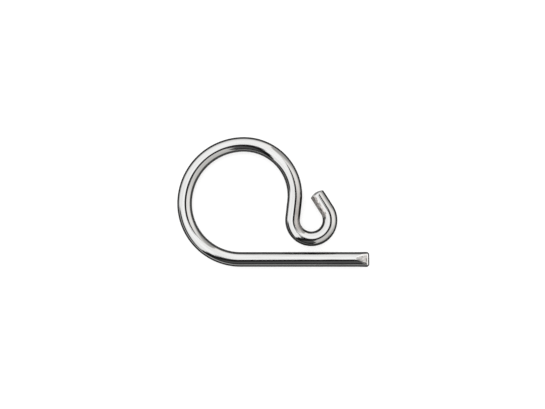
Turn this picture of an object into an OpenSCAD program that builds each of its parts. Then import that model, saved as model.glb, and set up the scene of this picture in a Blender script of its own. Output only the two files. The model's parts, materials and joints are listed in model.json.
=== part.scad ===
// R clip, also called a hitch pin clip: one length of round spring wire, bent flat.
// It lies on its side. +X runs along the straight leg towards its tip, +Y from the leg
// over the loop, and the origin is under the middle of the outline, on the resting plane.
// Every bend radius is that of the wire's centreline.

/* [Wire] */
// Diameter of the spring wire
wire_d = 4; // [3.3:0.1:4.8]

/* [Straight leg] */
// Length of the leg, from the heel bend to the cropped end
leg_len = 35; // [29:0.5:60]
// Length of the tip, where the top and bottom are pressed flatter
tip_len = 4.4; // [3:0.1:5.3]
// Radius of the two pressed faces, seen from the side
tip_face_r = 9.5; // [9:0.5:20]
// How far the pressed metal spreads past each side of the wire
tip_spread = 0.06; // [0.02:0.01:0.15]
// Bevel around the cropped end
tip_bevel = 0.45; // [0.15:0.05:0.55]
// Roll of the pressed faces about the leg, towards the loop, in degrees
tip_roll = 12; // [0:1:15]

/* [Loop] */
// Radius of the heel bend, from the leg up to the back of the loop
heel_r = 15.2; // [12.6:0.1:24]
// Radius of the crown bend, over the top of the loop
crown_r = 16.1; // [13.4:0.1:24]
// Radius of the shoulder bend, from the crown down to the neck
shoulder_r = 13.9; // [9:0.1:16.7]
// Lean of the straight neck back under the loop, in degrees
neck_lean = 6.5; // [0:0.5:15]

/* [Hook] */
// Radius of the hook, which snaps past the shaft and seats on it
hook_r = 5.1; // [4:0.1:7]
// Angle that the hook turns through, in degrees
hook_turn = 219; // [180:1:240]
// Gap between the leg and the underside of the hook
hook_gap = 1.6; // [0.6:0.1:3]
// Length of the straight tail after the hook
tail_len = 5.7; // [4:0.1:7]
// Height of the rounding on the tail's sheared end
tail_dome = 0.6; // [0.4:0.05:1.4]

/* [Hidden] */
$fn = 96;

wire_r = wire_d / 2;

// Each pressed face starts just outside the wire, so that it crosses it at a shallow angle
face_rise = 0.01;
face_crest = wire_r + face_rise;
// The tip starts to spread once its rolled faces have cut past its highest and lowest lines,
// so that the spread metal never stands above the wire or holds it off the surface
spread_clear = 1.3;
cut_depth = face_rise + wire_r * (1 - cos(tip_roll));
plain_len = spread_clear * sqrt(2 * tip_face_r * cut_depth);
// How much smaller the pieces are while they are joined
join_scale = 1000;

// The outline is centred on the origin: its size, then where the leg lies in it
size_x = wire_r + heel_r + leg_len;
size_y = wire_r + tip_spread + heel_r + crown_r + wire_r;
leg_start = [size_x / 2 - leg_len, tip_spread + wire_r - size_y / 2];

// Bend centres, each on the line through the last one and the point where two bends meet
heel_at = leg_start + [0, heel_r];
crown_at = heel_at + [crown_r - heel_r, 0];
shoulder_at = crown_at + [0, crown_r - shoulder_r];
neck_out = [cos(neck_lean), -sin(neck_lean)];
neck_down = [-sin(neck_lean), -cos(neck_lean)];
neck_start = shoulder_at + shoulder_r * neck_out;

// The neck is as long as it takes to leave the named gap under the hook
hook_y = leg_start.y + wire_d + hook_gap + hook_r;
neck_end_y = hook_y + hook_r * sin(neck_lean);
neck_len = (neck_start.y - neck_end_y) / cos(neck_lean);
neck_end = neck_start + neck_len * neck_down;
hook_at = neck_end + hook_r * neck_out;

// Directions are angles from +X
hook_from = 180 - neck_lean;
tail_from = hook_from + hook_turn;
tail_start = hook_at + hook_r * [cos(tail_from), sin(tail_from)];

// Puts a shape drawn along +X on the wire's path, at a point and in a direction
module on_path(start, direction)
    translate([start.x, start.y, wire_r])
        rotate([0, 0, direction])
            children();

// A straight run of wire along +X
module bar(length)
    rotate([0, 90, 0])
        cylinder(h = length, r = wire_r);

// A bend about a centre, from one direction and on through an angle
module bend(centre, radius, from, angle)
    translate([centre.x, centre.y, wire_r])
        rotate([0, 0, from])
            rotate_extrude(angle = angle)
                translate([radius, 0])
                    circle(wire_r);

// Extrudes a side view of the tip across the leg, in line with its pressed faces
module across_tip()
    rotate([90 - tip_roll, 0, 0])
        linear_extrude(height = 2 * wire_d, center = true)
            children();

// Tip of the leg along +X: a round end that spreads a little, closed in by two pressed
// faces and by the bevels where these meet the end
module tip() {
    spread_r = wire_r + tip_spread;
    bevel_from = tip_len - tip_bevel;
    face_centre = tip_face_r - face_crest;
    bevels_meet = bevel_from - face_centre + sqrt(pow(tip_face_r, 2) - pow(bevel_from, 2));
    intersection() {
        rotate([0, 90, 0])
            rotate_extrude()
                polygon([
                    [0, 0], [wire_r, 0], [wire_r, plain_len], [spread_r, bevel_from],
                    [spread_r - tip_bevel, tip_len], [0, tip_len]
                ]);
        across_tip()
            translate([0, -face_centre])
                circle(tip_face_r);
        across_tip()
            translate([0, face_centre])
                circle(tip_face_r);
        across_tip()
            polygon([
                [-wire_d, -wire_d], [bevels_meet - wire_d, -wire_d], [bevels_meet, 0],
                [bevels_meet - wire_d, wire_d], [-wire_d, wire_d]
            ]);
    }
}

// Straight leg along +X, which goes through the hole in the shaft
module leg() {
    round_len = leg_len - tip_len;
    bar(round_len);
    translate([round_len, 0, 0])
        tip();
}

// Straight tail along +X, with a rounded end that leads it over the shaft
module tail() {
    end_len = 2 * tail_dome;
    dome_r = (pow(wire_r, 2) + pow(tail_dome, 2)) / (2 * tail_dome);
    bar(tail_len - end_len);
    translate([tail_len - end_len, 0, 0])
        rotate([0, 90, 0])
            rotate_extrude()
                intersection() {
                    square([wire_r, end_len]);
                    translate([0, end_len - dome_r])
                        circle(dome_r);
                }
}

// Joins pieces end to end. They are joined small and brought back to size, because
// ends whose rounded coordinates differ in the last digit then still meet exactly.
module joined()
    scale(join_scale)
        for (piece = [0:$children - 1])
            scale(1 / join_scale)
                children(piece);

// The clip, from the leg round the loop and the hook to the tail
module r_clip()
    color("lightgray")
        joined() {
            on_path(leg_start, 0) leg();
            bend(heel_at, heel_r, 180, 90);
            bend(crown_at, crown_r, 90, 90);
            bend(shoulder_at, shoulder_r, -neck_lean, 90 + neck_lean);
            on_path(neck_start, 270 - neck_lean) bar(neck_len);
            bend(hook_at, hook_r, hook_from, hook_turn);
            on_path(tail_start, tail_from + 90) tail();
        }

r_clip();
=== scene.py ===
# Looks of an R clip: one length of bright plated spring wire, bent flat, lying on its side on
# a white table under soft studio light. Metres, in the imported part's frame: +X runs along the
# straight leg towards its tip, +Y from the leg over the loop, and +Z up from the table.
import json
import math
from functools import reduce

import bpy
import numpy as np
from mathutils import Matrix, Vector


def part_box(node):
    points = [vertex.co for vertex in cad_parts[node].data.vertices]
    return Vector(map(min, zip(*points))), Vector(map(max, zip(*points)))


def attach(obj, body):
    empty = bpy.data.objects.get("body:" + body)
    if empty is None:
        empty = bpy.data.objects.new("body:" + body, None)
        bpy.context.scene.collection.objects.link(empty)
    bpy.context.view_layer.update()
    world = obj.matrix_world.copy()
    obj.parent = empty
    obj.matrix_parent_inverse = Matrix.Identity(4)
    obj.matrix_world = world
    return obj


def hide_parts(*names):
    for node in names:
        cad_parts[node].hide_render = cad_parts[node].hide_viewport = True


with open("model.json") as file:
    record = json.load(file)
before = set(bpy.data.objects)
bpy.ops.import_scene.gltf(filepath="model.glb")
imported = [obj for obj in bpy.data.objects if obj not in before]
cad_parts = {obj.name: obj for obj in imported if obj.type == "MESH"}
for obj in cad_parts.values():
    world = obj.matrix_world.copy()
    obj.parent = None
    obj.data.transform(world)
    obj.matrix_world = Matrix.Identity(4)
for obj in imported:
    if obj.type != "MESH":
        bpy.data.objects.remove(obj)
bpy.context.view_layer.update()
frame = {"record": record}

MM = 0.001
clip_low, clip_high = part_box("r_clip")
leg_mount = next(mount for mount in frame["record"]["mounts"] if mount["name"] == "leg")

# The wire, and where its straight leg runs
WIRE_R = leg_mount["dims"]["r_mm"] * MM
LEG_END_X = clip_high.x
LEG_Y = leg_mount["pos_m"][1]
LEG_Z = leg_mount["pos_m"][2]

# The bends, as the part has them: the radius of the wire's centreline, and how far it turns
QUARTER = math.radians(90)
LEG_LEN = 35 * MM
HEEL_R = 15.2 * MM
CROWN_R = 16.1 * MM
SHOULDER_R = 13.9 * MM
NECK_LEAN = math.radians(6.5)
HOOK_R = 5.1 * MM
HOOK_TURN = math.radians(219)
HOOK_GAP = 1.6 * MM
TAIL_LEN = 5.7 * MM
TAIL_DOME = 0.6 * MM

# The pressed tip of the leg
TIP_LEN = 4.4 * MM
TIP_FACE_R = 9.5 * MM
TIP_FACE_RISE = 0.01 * MM
TIP_SPREAD = 0.06 * MM
TIP_SPREADS_FROM = 3.09 * MM
TIP_BEVEL = 0.45 * MM
TIP_ROLL = math.radians(12)

# How softly the edges are rounded
PRESSED_EDGE = 0.006 * MM
BEVEL_EDGE = 0.07 * MM
DOME_EDGE = 0.16 * MM

# How far a pressed face has cut into the round wire where its metal is wholly bare
BARE_DEPTH = 0.015 * MM
# The least half width that the pressed faces are measured by
LEAST_HALF_WIDTH = 0.2 * MM
# How far behind the tip's bevel its cropped metal reaches
CROP_REACH = 0.16 * MM
# How far along the tail's dome its metal is wholly bare
DOME_BARE_BY = 0.1 * MM
# The radius of an end's flat cap, as a share of the end
CAP_SHARE = 0.9

# How finely the wire's mesh is drawn
SIDES = 112
RING_STEP = 0.27 * MM
TIP_STEP = 0.06 * MM
CORNER_RINGS = 7
CAP_RINGS = 9
DOME_RINGS = 12


# ---------------------------------------------------------------- where the wire runs

def neck_length():
    """The neck is as long as it takes to leave the gap between the hook and the leg."""
    neck_start_y = LEG_Y + HEEL_R + CROWN_R - SHOULDER_R - SHOULDER_R * math.sin(NECK_LEAN)
    neck_end_y = LEG_Y + 2 * WIRE_R + HOOK_GAP + HOOK_R + HOOK_R * math.sin(NECK_LEAN)
    return (neck_start_y - neck_end_y) / math.cos(NECK_LEAN)


def wire_runs():
    """The runs of the wire from the leg's tip to the tail: each one's length and left turn."""
    loop = [(HEEL_R, -QUARTER), (CROWN_R, -QUARTER), (SHOULDER_R, -QUARTER - NECK_LEAN)]
    runs = [(LEG_LEN, 0.0)]
    runs += [(radius * abs(turn), turn) for radius, turn in loop]
    runs += [(neck_length(), 0.0), (HOOK_R * HOOK_TURN, HOOK_TURN), (TAIL_LEN, 0.0)]
    return runs


def carried(length, turn, heading, share):
    """How far a share of a run carries the wire: along a chord that leads off at half its turn."""
    chord = share * length * np.sinc(share * turn / (2 * math.pi))
    chord_heading = heading + share * turn / 2
    return np.stack([chord * np.cos(chord_heading), chord * np.sin(chord_heading)], -1)


def wire_path(along):
    """Points and headings of the wire's centreline at distances along it from the leg's tip."""
    start = np.array([LEG_END_X, LEG_Y])
    heading = math.pi
    before = 0.0
    points = np.zeros((len(along), 2))
    headings = np.zeros(len(along))
    for length, turn in wire_runs():
        ahead = along >= before
        share = np.clip((along[ahead] - before) / length, 0.0, 1.0)
        points[ahead] = start + carried(length, turn, heading, share)
        headings[ahead] = heading + share * turn
        start = start + carried(length, turn, heading, 1.0)
        heading += turn
        before += length
    return points, headings


# ---------------------------------------------------------------- the wire's surface

def soft_corner(before, corner, after, cut):
    """Profile points that round off a corner, from cut short of it to cut past it."""
    before, corner, after = (np.array(point, float) for point in (before, corner, after))
    start = corner + cut * (before - corner) / np.linalg.norm(before - corner)
    end = corner + cut * (after - corner) / np.linalg.norm(after - corner)
    t = np.linspace(0, 1, CORNER_RINGS)[:, None]
    return (1 - t) ** 2 * start + 2 * t * (1 - t) * corner + t ** 2 * end


def tip_rings():
    """The cropped end of the leg, from the middle of its end face to the wire's side: how far
    along each ring lies, how far it is set in by the bevel, and how much of it is left."""
    size = np.linspace(0, 1, CAP_RINGS)
    cap = np.stack([0 * size, np.full(CAP_RINGS, TIP_BEVEL + BEVEL_EDGE), size], -1)
    inner = soft_corner((0, 2 * TIP_BEVEL), (0, TIP_BEVEL), (TIP_BEVEL, 0), BEVEL_EDGE)
    outer = soft_corner((0, TIP_BEVEL), (TIP_BEVEL, 0), (TIP_LEN, 0), BEVEL_EDGE)
    bevel = np.concatenate([inner, outer])
    bevel = np.column_stack([bevel, np.ones(len(bevel))])
    return np.concatenate([cap[:-1], bevel])


def tail_rings(wire_len):
    """The rounded end of the tail, from the wire's side to its middle: how far along each ring
    lies, and its radius as a share of the wire's."""
    dome_r = (WIRE_R ** 2 + TAIL_DOME ** 2) / (2 * TAIL_DOME)
    rim_angle = math.asin(WIRE_R / dome_r)
    rim = np.array([wire_len - TAIL_DOME, WIRE_R])
    angles = np.linspace(rim_angle - DOME_EDGE / dome_r, 0, DOME_RINGS)
    dome = np.stack([wire_len - dome_r + dome_r * np.cos(angles), dome_r * np.sin(angles)], -1)
    edge = soft_corner(rim - [WIRE_R, 0], rim, dome[0], DOME_EDGE)
    rings = np.concatenate([edge[:-1], dome])
    return rings[:, 0], rings[:, 1] / WIRE_R


def wire_rings():
    """Each ring of the wire from end to end: how far along it lies, how far it is set in by the
    tip's bevel, and its size as a share of the full section."""
    wire_len = sum(length for length, turn in wire_runs())
    tip = tip_rings()
    tail_along, tail_size = tail_rings(wire_len)
    tip_part = np.arange(tip[-1, 0] + TIP_STEP, TIP_LEN + TIP_STEP, TIP_STEP)
    plain_count = round((tail_along[0] - tip_part[-1]) / RING_STEP)
    plain_part = np.linspace(tip_part[-1], tail_along[0], plain_count)[1:-1]
    sides = np.concatenate([tip_part, plain_part])
    along = np.concatenate([tip[:, 0], sides, tail_along])
    inset = np.concatenate([tip[:, 1], 0 * sides, 0 * tail_along])
    size = np.concatenate([tip[:, 2], 1 + 0 * sides, tail_size])
    return along, inset, size


def smooth_step(value):
    """0 up to 0, 1 from 1, and a smooth rise between."""
    value = np.clip(value, 0, 1)
    return value * value * (3 - 2 * value)


def pressed_flat(along):
    """Height of the tip's pressed faces above the wire's middle. Behind the tip they leave it."""
    past = np.clip(TIP_LEN - along, -TIP_LEN, TIP_LEN)
    sag = TIP_FACE_R - np.sqrt(TIP_FACE_R ** 2 - past ** 2)
    return WIRE_R + TIP_FACE_RISE - np.sign(past) * sag


def pressed(height, flat):
    """Heights above the wire's middle, held in by the pressed faces with softly rounded edges."""
    held = -PRESSED_EDGE * np.logaddexp(-np.abs(height) / PRESSED_EDGE, -flat / PRESSED_EDGE)
    return np.sign(height) * held


def closed_skin(co):
    """Points and faces of a closed skin round the wire. Both end rings have no size, so each of
    them becomes one point."""
    rings = len(co)
    verts = np.concatenate([co[0, :1], co[1:-1].reshape(-1, 3), co[-1, :1]])
    last = len(verts) - 1
    side = np.arange(SIDES)
    after = (side + 1) % SIDES
    faces = [(0, 1 + b, 1 + a) for a, b in zip(side, after)]
    for ring in range(rings - 3):
        near, far = 1 + ring * SIDES, 1 + (ring + 1) * SIDES
        faces += [(near + a, near + b, far + b, far + a) for a, b in zip(side, after)]
    end = 1 + (rings - 3) * SIDES
    faces += [(last, end + a, end + b) for a, b in zip(side, after)]
    return verts, faces


def clip_wire():
    """The whole wire as one closed skin, with what its finish needs to know at each point."""
    along, inset, size = wire_rings()
    points, headings = wire_path(along)
    spread = np.interp(along, [TIP_BEVEL, TIP_SPREADS_FROM], [TIP_SPREAD, 0])
    radius = (WIRE_R + spread - inset)[:, None]
    flat = (pressed_flat(along) - inset)[:, None]

    # Round each ring, measured from the pressed faces' direction: across them and over them
    around = np.linspace(0, 2 * math.pi, SIDES, endpoint=False) + TIP_ROLL
    over = radius * np.cos(around)
    over_held = pressed(over, flat)
    across = radius * np.sin(around) + 0 * over
    over_held, across = size[:, None] * over_held, size[:, None] * across

    # The faces are rolled about the wire, so that the upper one leans to the right of its run
    up = over_held * math.cos(TIP_ROLL) + across * math.sin(TIP_ROLL)
    left = across * math.cos(TIP_ROLL) - over_held * math.sin(TIP_ROLL)
    co = np.stack([points[:, :1] - np.sin(headings)[:, None] * left,
                   points[:, 1:] + np.cos(headings)[:, None] * left,
                   LEG_Z + up], -1)

    verts, faces = closed_skin(co)
    mesh = bpy.data.meshes.new("clip_wire")
    mesh.from_pydata(verts.tolist(), [], faces)
    mesh.shade_smooth()

    def keep(name, kind, field, values):
        """Stores a value for each point of the mesh."""
        values = np.concatenate([values[0, :1], np.concatenate(values[1:-1]), values[-1, :1]])
        stored = mesh.attributes.new(name, kind, "POINT").data
        stored.foreach_set(field, values.ravel().astype(np.float32))

    straight = np.stack([along[:, None] + 0 * up, left, up], -1)
    keep("straightened", "FLOAT_VECTOR", "vector", straight)
    face_mask = smooth_step((np.abs(over) - flat) / BARE_DEPTH) * (along < TIP_LEN)[:, None]
    keep("pressed_face", "FLOAT", "value", face_mask)
    half_width = np.sqrt(np.maximum(radius ** 2 - flat ** 2, LEAST_HALF_WIDTH ** 2))
    keep("across_face", "FLOAT", "value", across / half_width)
    dome_start = along[-1] - TAIL_DOME
    end_mask = np.maximum(smooth_step((TIP_BEVEL + CROP_REACH - along) / BEVEL_EDGE),
                          smooth_step((along - dome_start) / DOME_BARE_BY))
    keep("cropped_end", "FLOAT", "value", end_mask[:, None] + 0 * up)
    off_cap = smooth_step((size - CAP_SHARE) / (1 - CAP_SHARE))
    keep("off_cap", "FLOAT", "value", off_cap[:, None] + 0 * up)

    wire = bpy.data.objects.new("clip_wire", mesh)
    bpy.context.scene.collection.objects.link(wire)
    return wire


# ---------------------------------------------------------------- finishes

# Metal colours, as the darkest and the lightest where they are mottled
PLATED = (0.78, 0.78, 0.77, 1.0), (0.90, 0.90, 0.895, 1.0)
SCUFFED = (0.27, 0.25, 0.237, 1.0), (0.74, 0.71, 0.686, 1.0)
PRESSED = (0.22, 0.213, 0.208, 1.0), (0.60, 0.59, 0.58, 1.0)
CROPPED = (0.85, 0.85, 0.84, 1.0), (0.95, 0.95, 0.95, 1.0)
SHEARED = (0.36, 0.355, 0.35, 1.0), (0.62, 0.61, 0.60, 1.0)
HANDLED = (0.50, 0.478, 0.465, 1.0)
# A painted highlight along one edge of the pressed faces
PAINTED_HIGHLIGHT = (0.72, 0.72, 0.715, 1.0)
# Painted shade of a crease on the pressed faces
PAINTED_CREASE_SHADE = (0.10, 0.085, 0.08, 1.0)
# Painted shade: the black of the pressed faces' shaded edge and of the ring round the leg's end
PAINTED_SHADE_BLACK = (0.03, 0.029, 0.028, 1.0)

# Noises: how many grains they have in a metre along the wire, across it and over it
LINES = dict(stretch=(60, 2600, 2600), detail=3.0, roughness=0.6)
FINE_LINES = dict(stretch=(200, 9000, 9000), detail=1.0)
PATCHES = dict(stretch=(160, 500, 500), detail=3.0)
GRAINS = dict(stretch=(2300, 2300, 2300), detail=5.0, roughness=0.65)
SCUFFS = dict(stretch=(900, 1500, 1500), detail=4.0, roughness=0.6)

# The part of a noise's range that counts: all of it, and for more contrast
NOISE_RANGE = 0.3, 0.7
LINE_CONTRAST = 0.35, 0.6
SCUFF_CONTRAST = 0.35, 0.62
GRAIN_CONTRAST = 0.35, 0.65

# Where a mark is strong: it starts, is full, fades and ends. Along the wire it is measured from
# the leg's tip, and across the pressed faces as a share of their half width
NECK_HANDLED = 99.0 * MM, 111.0 * MM, 115.5 * MM, 118.0 * MM
# Where the painted shade of a crease lies on the pressed faces
CREASE_SHADE_ALONG = 0.58 * MM, 0.64 * MM, 0.76 * MM, 0.88 * MM
CREASE_SHADE_ACROSS = -0.15, 0.1, 0.45, 0.6

# Where a mark starts and where it is full: along the wire, left of its middle, or across the
# pressed faces
TAIL_RUBBED = 129.2 * MM, 130.8 * MM
RUBBED_SIDE = 0.60 * MM, 0.74 * MM
HANDLED_SIDE = 0.1 * MM, 0.7 * MM
HOOK_MATT = 111.0 * MM, 113.5 * MM
EDGE_SHADED = 0.72, 0.86
BEHIND_TIP = 1.0 * MM, 2.0 * MM

# Where a mark is full and where it ends
# Where the painted highlight across the pressed faces is full and where it ends
HIGHLIGHTED_EDGE = -0.72, -0.52
# Where the painted shade round the leg's end is full and where it ends
END_SHADE_ALONG = 0.30 * MM, 0.36 * MM

# How rough the metal is, from its smoothest to its roughest
POLISHED = 0.05, 0.10
GRAINY = 0.3, 0.5
MATT = 0.42

# Over what part of the scuffs' range the handling grows, and from how much to how much
HANDLED_SCUFFS = 0.3, 0.6, 0.75, 1.0

# How deep the film lies in each place, from 0 to 1. Its bands are painted shade on the wire's rims:
# they start this far out to the side, and this far up or down from the middle of the side, as
# shares of the wire's radius
FILM_PLATING = 0.675
FILM_BARE = 0.25
# The film in the bands on the sides, which is painted shade on the rims
RIM_SHADE_FILM = 1.0
FILM_RUBBED = 0.3
FILM_MATT = 0.5
FILM_MIDDLE = 0.15
RIM_SHADE_OUT = 0.69, 0.79
RIM_SHADE_UP = 0.15, 0.40

# The tint of the film, and of the metal where it is seen edge on
FILM_TINT = (0.20, 0.20, 0.20, 1.0)
EDGE_ON_TINT = (0.0, 0.0, 0.0, 1.0)

# How deep the drawn lines are, and how the fine lines and the grain compare with them
BUMP_DEPTH = 0.0045 * MM
FINE_LINE_SHARE = 0.15
GRAIN_SHARE = 2.0


def new_material(name):
    """An empty node material and its tree."""
    material = bpy.data.materials.new(name)
    material.use_nodes = True
    material.node_tree.nodes.clear()
    return material, material.node_tree


def add(tree, kind, inputs=None, **settings):
    """A node, with its settings made and its inputs set or linked."""
    node = tree.nodes.new(kind)
    for name, value in settings.items():
        setattr(node, name, value)
    for name, value in (inputs or {}).items():
        if isinstance(value, bpy.types.NodeSocket):
            tree.links.new(value, node.inputs[name])
        else:
            node.inputs[name].default_value = value
    return node


def attribute(tree, name, output):
    """A value that the mesh stores at each point."""
    return add(tree, "ShaderNodeAttribute", attribute_name=name).outputs[output]


def math_node(tree, operation, *numbers):
    """The result of a sum on up to three numbers."""
    return add(tree, "ShaderNodeMath", dict(enumerate(numbers)), operation=operation).outputs[0]


def product(tree, *numbers):
    """Numbers multiplied together."""
    return reduce(lambda first, second: math_node(tree, "MULTIPLY", first, second), numbers)


def largest(tree, *numbers):
    """The largest of some numbers."""
    return reduce(lambda first, second: math_node(tree, "MAXIMUM", first, second), numbers)


def ramp(tree, value, low, high, to_low=0.0, to_high=1.0):
    """A number moved smoothly from one range to another."""
    inputs = {"Value": value, "From Min": low, "From Max": high}
    inputs.update({"To Min": to_low, "To Max": to_high})
    return add(tree, "ShaderNodeMapRange", inputs, interpolation_type="SMOOTHSTEP").outputs[0]


def falling(tree, value, full, end):
    """1 up to full, and 0 from end."""
    return ramp(tree, value, full, end, 1.0, 0.0)


def span(tree, value, start, full, fade, end):
    """1 from full to fade, and 0 up to start and from end."""
    return product(tree, ramp(tree, value, start, full), falling(tree, value, fade, end))


def mixed_number(tree, share, first, second):
    """first where share is 0 and second where it is 1."""
    return add(tree, "ShaderNodeMix", {0: share, 2: first, 3: second}, data_type="FLOAT").outputs[0]


def mixed_colour(tree, share, first, second):
    """One colour where share is 0 and the other where it is 1."""
    return add(tree, "ShaderNodeMix", {0: share, 6: first, 7: second}, data_type="RGBA").outputs[2]


def mottled(tree, grain, contrast, dark_and_light):
    """A colour that goes from its darkest to its lightest over a part of a noise's range."""
    return mixed_colour(tree, ramp(tree, grain, *contrast), *dark_and_light)


def noise(tree, vector, stretch, detail=2.0, roughness=0.5):
    """Noise from 0 to 1 whose grains are drawn out along the wire: its vector is in metres, and
    stretch is the number of grains in a metre along the wire, across it and over it."""
    scaled = add(tree, "ShaderNodeVectorMath", {0: vector, 1: stretch}, operation="MULTIPLY")
    inputs = {"Vector": scaled.outputs[0], "Scale": 1.0, "Detail": detail, "Roughness": roughness}
    return add(tree, "ShaderNodeTexNoise", inputs).outputs["Fac"]


def pressed_metal(tree, grains, along, across):
    """The pressed faces: dark grain, a painted highlight along one side, painted shade along the
    other, and the painted shade of a crease between them next to the cropped end."""
    colour = mottled(tree, grains, GRAIN_CONTRAST, PRESSED)
    # A painted highlight along one edge of the faces
    colour = mixed_colour(tree, falling(tree, across, *HIGHLIGHTED_EDGE), colour, PAINTED_HIGHLIGHT)
    # Painted shade along the other edge of the faces
    colour = mixed_colour(tree, ramp(tree, across, *EDGE_SHADED), colour, PAINTED_SHADE_BLACK)
    # Painted shade of a crease, with no crease in the shape
    crease_shade = product(tree, span(tree, along, *CREASE_SHADE_ALONG), span(tree, across, *CREASE_SHADE_ACROSS))
    return mixed_colour(tree, crease_shade, colour, PAINTED_CREASE_SHADE)


def cropped_metal(tree, grains, along, off_cap):
    """The ends, bright where they are bevelled or domed. The leg's flat cap is grey."""
    off_leg_cap = largest(tree, off_cap, ramp(tree, along, *BEHIND_TIP))
    cap = mottled(tree, grains, GRAIN_CONTRAST, SHEARED)
    return mixed_colour(tree, off_leg_cap, cap, mottled(tree, grains, GRAIN_CONTRAST, CROPPED))


def film_with_painted_rim_shade(tree, left, up, bare, rubbed, matt):
    """How deep a thin clear film lies: deepest in a band high and low on each side of the wire, as
    painted shade that darkens the rims, and thin on bare, rubbed and matt metal and along the
    middle of the sides."""
    out_to_side = math_node(tree, "DIVIDE", math_node(tree, "ABSOLUTE", left), WIRE_R)
    off_middle = math_node(tree, "DIVIDE", math_node(tree, "ABSOLUTE", up), WIRE_R)
    film = mixed_number(tree, bare, FILM_PLATING, FILM_BARE)
    # Painted shade: the film is deepest in bands on the sides, to darken the rims
    film = mixed_number(tree, ramp(tree, out_to_side, *RIM_SHADE_OUT), film, RIM_SHADE_FILM)
    film = mixed_number(tree, rubbed, film, FILM_RUBBED)
    film = mixed_number(tree, matt, film, FILM_MATT)
    return mixed_number(tree, ramp(tree, off_middle, *RIM_SHADE_UP), FILM_MIDDLE, film)


def plated_wire():
    """Bright plating over drawn spring wire, under a clear film: fine lines along the wire and a
    faintly uneven polish. The tip's pressed faces and both ends are bare grainy metal. The
    inside of the tail is rubbed where it slides over the shaft, and the outer side of the neck
    is dulled by handling, down to the hook, where it is matt."""
    material, tree = new_material("plated_wire")
    straight = attribute(tree, "straightened", "Vector")
    along, left, up = add(tree, "ShaderNodeSeparateXYZ", {0: straight}).outputs
    face = attribute(tree, "pressed_face", "Fac")
    across_face = attribute(tree, "across_face", "Fac")
    end = attribute(tree, "cropped_end", "Fac")
    off_cap = attribute(tree, "off_cap", "Fac")
    worked = largest(tree, face, end)

    lines, fine_lines, patches, grains, scuffs = (
        noise(tree, straight, **kind) for kind in (LINES, FINE_LINES, PATCHES, GRAINS, SCUFFS))

    # Where the tail slides over the shaft, and where the neck is handled
    rubbed = product(tree, ramp(tree, left, *RUBBED_SIDE), ramp(tree, along, *TAIL_RUBBED))
    handled = product(tree, ramp(tree, left, *HANDLED_SIDE), span(tree, along, *NECK_HANDLED),
                      ramp(tree, scuffs, *HANDLED_SCUFFS))
    matt = product(tree, handled, ramp(tree, along, *HOOK_MATT))

    colour = mottled(tree, lines, LINE_CONTRAST, PLATED)
    colour = mixed_colour(tree, rubbed, colour, mottled(tree, scuffs, SCUFF_CONTRAST, SCUFFED))
    colour = mixed_colour(tree, handled, colour, HANDLED)
    colour = mixed_colour(tree, face, colour, pressed_metal(tree, grains, along, across_face))
    colour = mixed_colour(tree, end, colour, cropped_metal(tree, grains, along, off_cap))
    # Painted shade: a dark ring round the leg's end that stands in for its outline
    rim = product(tree, off_cap, falling(tree, along, *END_SHADE_ALONG))
    colour = mixed_colour(tree, rim, colour, PAINTED_SHADE_BLACK)

    polish = ramp(tree, patches, *NOISE_RANGE, *POLISHED)
    roughened = ramp(tree, grains, *NOISE_RANGE, *GRAINY)
    roughness = mixed_number(tree, largest(tree, worked, rubbed), polish, roughened)
    roughness = mixed_number(tree, matt, roughness, MATT)

    line_height = math_node(tree, "ADD", lines, product(tree, fine_lines, FINE_LINE_SHARE))
    height = mixed_number(tree, worked, line_height, product(tree, grains, GRAIN_SHARE))
    bump = add(tree, "ShaderNodeBump", {"Height": height, "Strength": 1.0, "Distance": BUMP_DEPTH})

    metal = add(tree, "ShaderNodeBsdfPrincipled", {
        "Base Color": colour,
        "Metallic": 1.0,
        "Roughness": roughness,
        "Specular Tint": EDGE_ON_TINT,
        # The film's weight carries the painted shade on the wire's rims
        "Coat Weight": film_with_painted_rim_shade(tree, left, up, product(tree, worked, off_cap), rubbed, matt),
        "Coat IOR": 1.0,
        "Coat Roughness": 0.0,
        "Coat Tint": FILM_TINT,
        "Normal": bump.outputs[0],
    })
    add(tree, "ShaderNodeOutputMaterial", {"Surface": metal.outputs[0]})
    return material


def white_table(glow):
    """A plain white top, lit by the dome, that also shows white to the camera and in metal."""
    material, tree = new_material("white_table")
    path = add(tree, "ShaderNodeLightPath").outputs
    seen = largest(tree, *(path[f"Is {ray} Ray"] for ray in ("Camera", "Glossy", "Transmission")))
    surface = add(tree, "ShaderNodeBsdfPrincipled", {
        "Base Color": TABLE_GREY,
        "Roughness": 0.7,
        "Specular IOR Level": 0.0,
        "Emission Color": NEUTRAL,
        "Emission Strength": product(tree, seen, glow),
    })
    add(tree, "ShaderNodeOutputMaterial", {"Surface": surface.outputs[0]})
    return material


# ---------------------------------------------------------------- table, light dome and camera

TABLE_SIZE = 12.0
TABLE_GLOW = 0.68
TABLE_GREY = (0.36, 0.36, 0.36, 1.0)

# Brightness of the dome's parts, where 1 is white: the white part, the grey one on its right
# and front right, the gloom at its darkest and lightest, and the foot, in general and on the left
WHITE = 2.2
RIGHT_GREY = 2.1
FRONT_RIGHT_GREY = 1.4
GLOOM = 0.1, 0.3
FOOT = 1.3
LEFT_FOOT = 0.52

# Shares of that brightness: the streaks in the grey, the very back of the grey, and the gloom
# next to the white part and low down
GREY_STREAKS = 0.85, 1.1
FAR_BACK_SHARE = 0.45
NEXT_TO_WHITE_SHARE = 0.12
LOW_DOWN_SHARE = 0.2

# The tint of the grey part, and of the rest
WARM = (1.0, 0.98, 0.955, 1.0)
NEUTRAL = (1.0, 1.0, 1.0, 1.0)

# The streaks, and how they stretch
STREAKS = dict(stretch=(1.5, 1.5, 5.0), detail=3.0)

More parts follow.
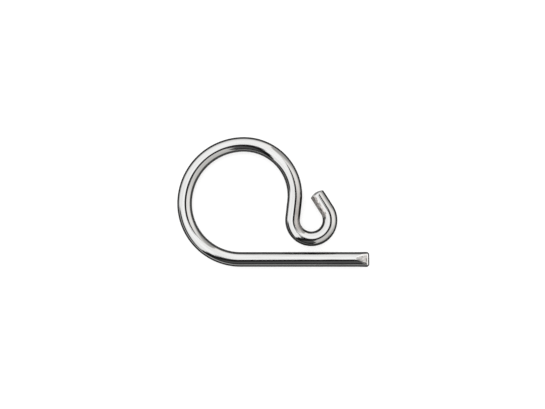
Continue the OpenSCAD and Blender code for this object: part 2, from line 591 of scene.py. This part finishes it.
# Straight lines in the round plan of the dome: the way across each, and how far along that way
# it lies. The first three tell how far left, front or back a place is, and the rest are edges
TO_LEFT = (-1, 0, 0.0)
TO_FRONT = (0, -1, 0.0)
TO_BACK = (0, 1, 0.0)
FRONT_LEFT_EDGES = (0.88, -0.475, 0.003), (0.65, -0.76, 0.095)
BACK_RIGHT_EDGES = (0.42, -0.907, 0.0), (0.727, -0.686, 0.034), (0.98, -0.2, 0.16)
LEFT_FOOT_EDGE = (-0.94, -0.342, 0.54)
GAP_EDGES = (0.56, -0.83, 0.24), (0.985, 0.17, 0.25)
FRONT_EDGE = (0.99, 0.14, 0.0)

# How soft the edges are, and how far the streaks make two of them wander
SOFT = -0.01, 0.01
FOOT_SOFT = -0.03, 0.03
FRONT_SOFT = 0.0, 0.03
WHITE_WANDERS = -0.015, 0.025
FRONT_WANDERS = -0.05, 0.05

# Where a change starts and where it is complete: how far left the white part's edge wanders,
# how far front its foot is cut off, how far back the grey brightens and dims again, how far
# past the white part the gloom lifts, and how high above the horizon it lifts and the foot ends
WANDER_TO_LEFT = 0.03, 0.2
FOOT_TO_FRONT = 0.0, 0.1
GREY_BRIGHTENS = -0.3, 0.0
GREY_DIMS = 0.2, 0.42
GLOOM_LIFTS = 0.10, 0.16
GLOOM_RISES = 0.3, 0.5
FOOT_ENDS = 0.03, 0.10

# The camera: how wide a piece of the table it shows, and how far its middle is off the clip's
VIEW_WIDTH = 148.3 * MM
VIEW_OFFSET = -0.19 * MM, -0.68 * MM
LENS = 100.0
SENSOR_WIDTH = 36.0
CLIP_START = 0.01


def table():
    """A wide white table top that the clip lies on."""
    half = TABLE_SIZE / 2
    corners = [(-half, -half), (half, -half), (half, half), (-half, half)]
    mesh = bpy.data.meshes.new("table_top")
    mesh.from_pydata([(x, y, clip_low.z) for x, y in corners], [], [(0, 1, 2, 3)])
    mesh.materials.append(white_table(TABLE_GLOW))
    top = bpy.data.objects.new("table_top", mesh)
    bpy.context.scene.collection.objects.link(top)


def dome_place(tree):
    """Where a direction lies in a round plan of the dome, as a mirror ball shows it from above:
    0 is overhead, 0.7 from it is the horizon, +X and +Y are the clip's. Z is the rise, from 0
    at the horizon to 1 overhead."""
    direction = add(tree, "ShaderNodeTexCoord").outputs["Generated"]
    x, y, rise = add(tree, "ShaderNodeSeparateXYZ", {0: direction}).outputs
    # A little over 2, so that the spread isn't 0 straight down
    lift = 2.001
    spread = math_node(tree, "SQRT", math_node(tree, "MULTIPLY_ADD", rise, 2.0, lift))
    x, y = math_node(tree, "DIVIDE", x, spread), math_node(tree, "DIVIDE", y, spread)
    return add(tree, "ShaderNodeCombineXYZ", {0: x, 1: y, 2: rise}).outputs[0]


def past_edges(tree, place, *edges):
    """How far a place lies past some straight edges, by the one that it is furthest past."""
    reaches = []
    for to_x, to_y, at in edges:
        inputs = {0: place, 1: (to_x, to_y, 0.0)}
        reach = add(tree, "ShaderNodeVectorMath", inputs, operation="DOT_PRODUCT")
        reaches.append(math_node(tree, "SUBTRACT", reach.outputs["Value"], at))
    return largest(tree, *reaches)


def white_part(tree, place, streaks):
    """Where the dome is white, and how far a place lies outside that. The white ends at two
    bent edges that meet near the middle of the dome: one runs from there to the front left, and
    one to the back right. Its foot on the left is cut off."""
    outside = math_node(tree, "MINIMUM", past_edges(tree, place, *FRONT_LEFT_EDGES),
                        past_edges(tree, place, *BACK_RIGHT_EDGES))
    ragged = product(tree, ramp(tree, streaks, *NOISE_RANGE, *WHITE_WANDERS),
                     ramp(tree, past_edges(tree, place, TO_LEFT), *WANDER_TO_LEFT))
    outside = math_node(tree, "ADD", outside, ragged)
    left_foot = product(tree, ramp(tree, past_edges(tree, place, LEFT_FOOT_EDGE), *FOOT_SOFT),
                        ramp(tree, past_edges(tree, place, TO_FRONT), *FOOT_TO_FRONT))
    kept = math_node(tree, "SUBTRACT", 1.0, left_foot)
    return product(tree, falling(tree, outside, *SOFT), kept), outside, left_foot


def grey_part(tree, place, streaks):
    """Where the dome is grey, past a dark gap and up to the dark front, and how bright it is
    there: dimmer towards the front and at the very back."""
    front_end = math_node(tree, "ADD", past_edges(tree, place, FRONT_EDGE),
                          ramp(tree, streaks, *NOISE_RANGE, *FRONT_WANDERS))
    grey = product(tree, ramp(tree, past_edges(tree, place, *GAP_EDGES), *SOFT),
                   ramp(tree, front_end, *FRONT_SOFT))
    to_back = past_edges(tree, place, TO_BACK)
    level = product(tree, ramp(tree, to_back, *GREY_BRIGHTENS, FRONT_RIGHT_GREY, RIGHT_GREY),
                    ramp(tree, streaks, *NOISE_RANGE, *GREY_STREAKS),
                    ramp(tree, to_back, *GREY_DIMS, 1.0, FAR_BACK_SHARE))
    return grey, level


def studio():
    """A light dome: white overhead and towards the back and left, a warm grey on the right past
    a dark gap, and a dark streaky front, with pale surroundings round the foot of it."""
    made = bpy.data.worlds.new("studio")
    made.use_nodes = True
    tree = made.node_tree
    tree.nodes.clear()
    place = dome_place(tree)
    rise = add(tree, "ShaderNodeSeparateXYZ", {0: place}).outputs["Z"]
    streaks = noise(tree, place, **STREAKS)
    white, outside, left_foot = white_part(tree, place, streaks)
    grey, grey_level = grey_part(tree, place, streaks)

    # The rest is blackest next to the white part and low down, with streaks between
    gloom = product(tree, ramp(tree, streaks, *NOISE_RANGE, *GLOOM),
                    ramp(tree, outside, *GLOOM_LIFTS, NEXT_TO_WHITE_SHARE, 1.0),
                    ramp(tree, rise, *GLOOM_RISES, LOW_DOWN_SHARE, 1.0))

    brightness = mixed_number(tree, grey, gloom, grey_level)
    brightness = mixed_number(tree, white, brightness, WHITE)
    foot = ramp(tree, left_foot, 0.0, 1.0, FOOT, LEFT_FOOT)
    brightness = mixed_number(tree, ramp(tree, rise, *FOOT_ENDS), foot, brightness)
    colour = mixed_colour(tree, grey, NEUTRAL, WARM)
    background = add(tree, "ShaderNodeBackground", {"Color": colour, "Strength": brightness})
    add(tree, "ShaderNodeOutputWorld", {"Surface": background.outputs[0]})
    bpy.context.scene.world = made


def camera():
    """Straight down on the clip, with the leg along the bottom and the hook to the right."""
    lens = bpy.data.cameras.new("camera")
    lens.lens = LENS
    lens.sensor_width = SENSOR_WIDTH
    lens.clip_start = CLIP_START
    placed = bpy.data.objects.new("camera", lens)
    distance = VIEW_WIDTH * LENS / SENSOR_WIDTH
    middle = (clip_low + clip_high) / 2
    placed.location = middle + Vector((*VIEW_OFFSET, distance))
    bpy.context.scene.collection.objects.link(placed)
    bpy.context.scene.camera = placed


# ---------------------------------------------------------------- the scene

wire = clip_wire()
wire.data.materials.append(plated_wire())
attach(wire, "root")
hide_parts("r_clip")

table()
studio()
camera()
bpy.context.scene.view_settings.view_transform = "Standard"
